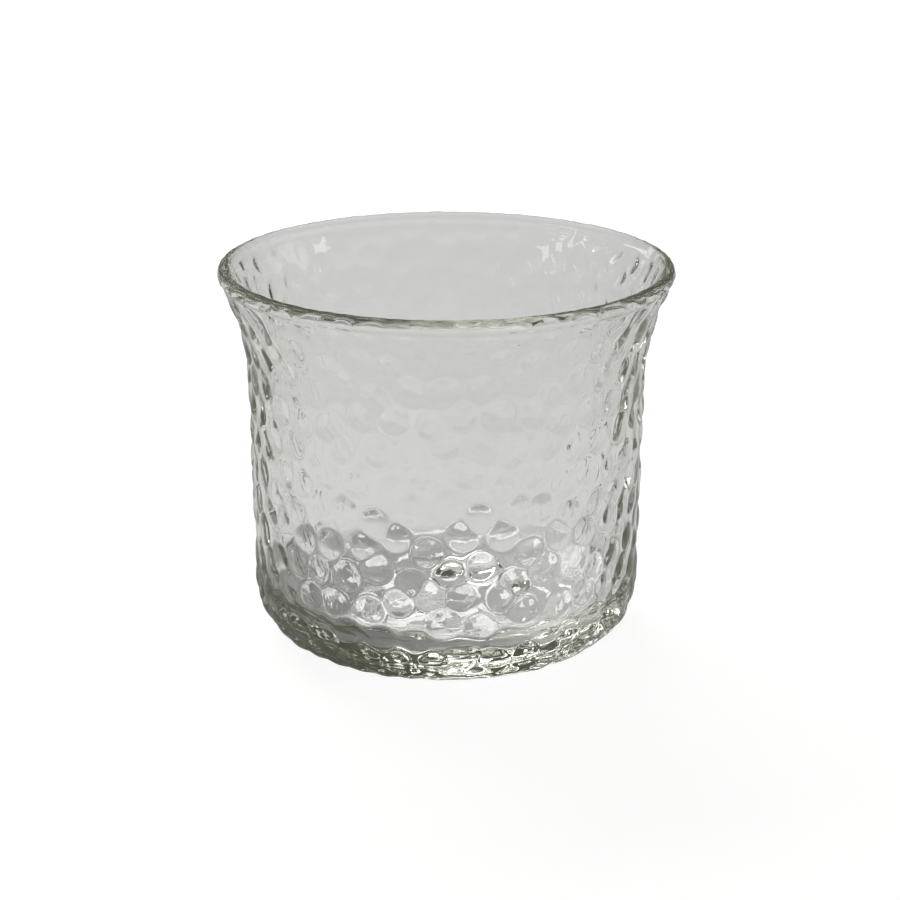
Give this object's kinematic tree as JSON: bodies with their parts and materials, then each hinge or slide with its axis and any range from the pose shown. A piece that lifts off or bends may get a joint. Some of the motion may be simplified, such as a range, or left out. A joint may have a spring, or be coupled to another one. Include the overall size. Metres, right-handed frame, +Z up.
{
  "type": "hammered chai glass",
  "caption": "Clear glass tumbler for tea with a hammered outside of low raised pebbles, a nearly straight wall that flares to a rounded lip, and a thick base with a rounded heel.",
  "frame": {"origin": "centre of the foot, on the surface that the glass stands on", "axes": "+Z up along the axis of the glass, out of its mouth; +X and +Y are any two level directions, because the glass is round"},
  "size_m": [0.086, 0.086, 0.073],
  "materials": {
    "clear_glass": "clear pressed glass with a faint olive-grey tint, pebbled outside and smooth inside"
  },
  "bodies": {
    "root": {"base": "clear_glass", "hammered_wall": "clear_glass", "lip": "clear_glass"}
  },
  "joints": []
}
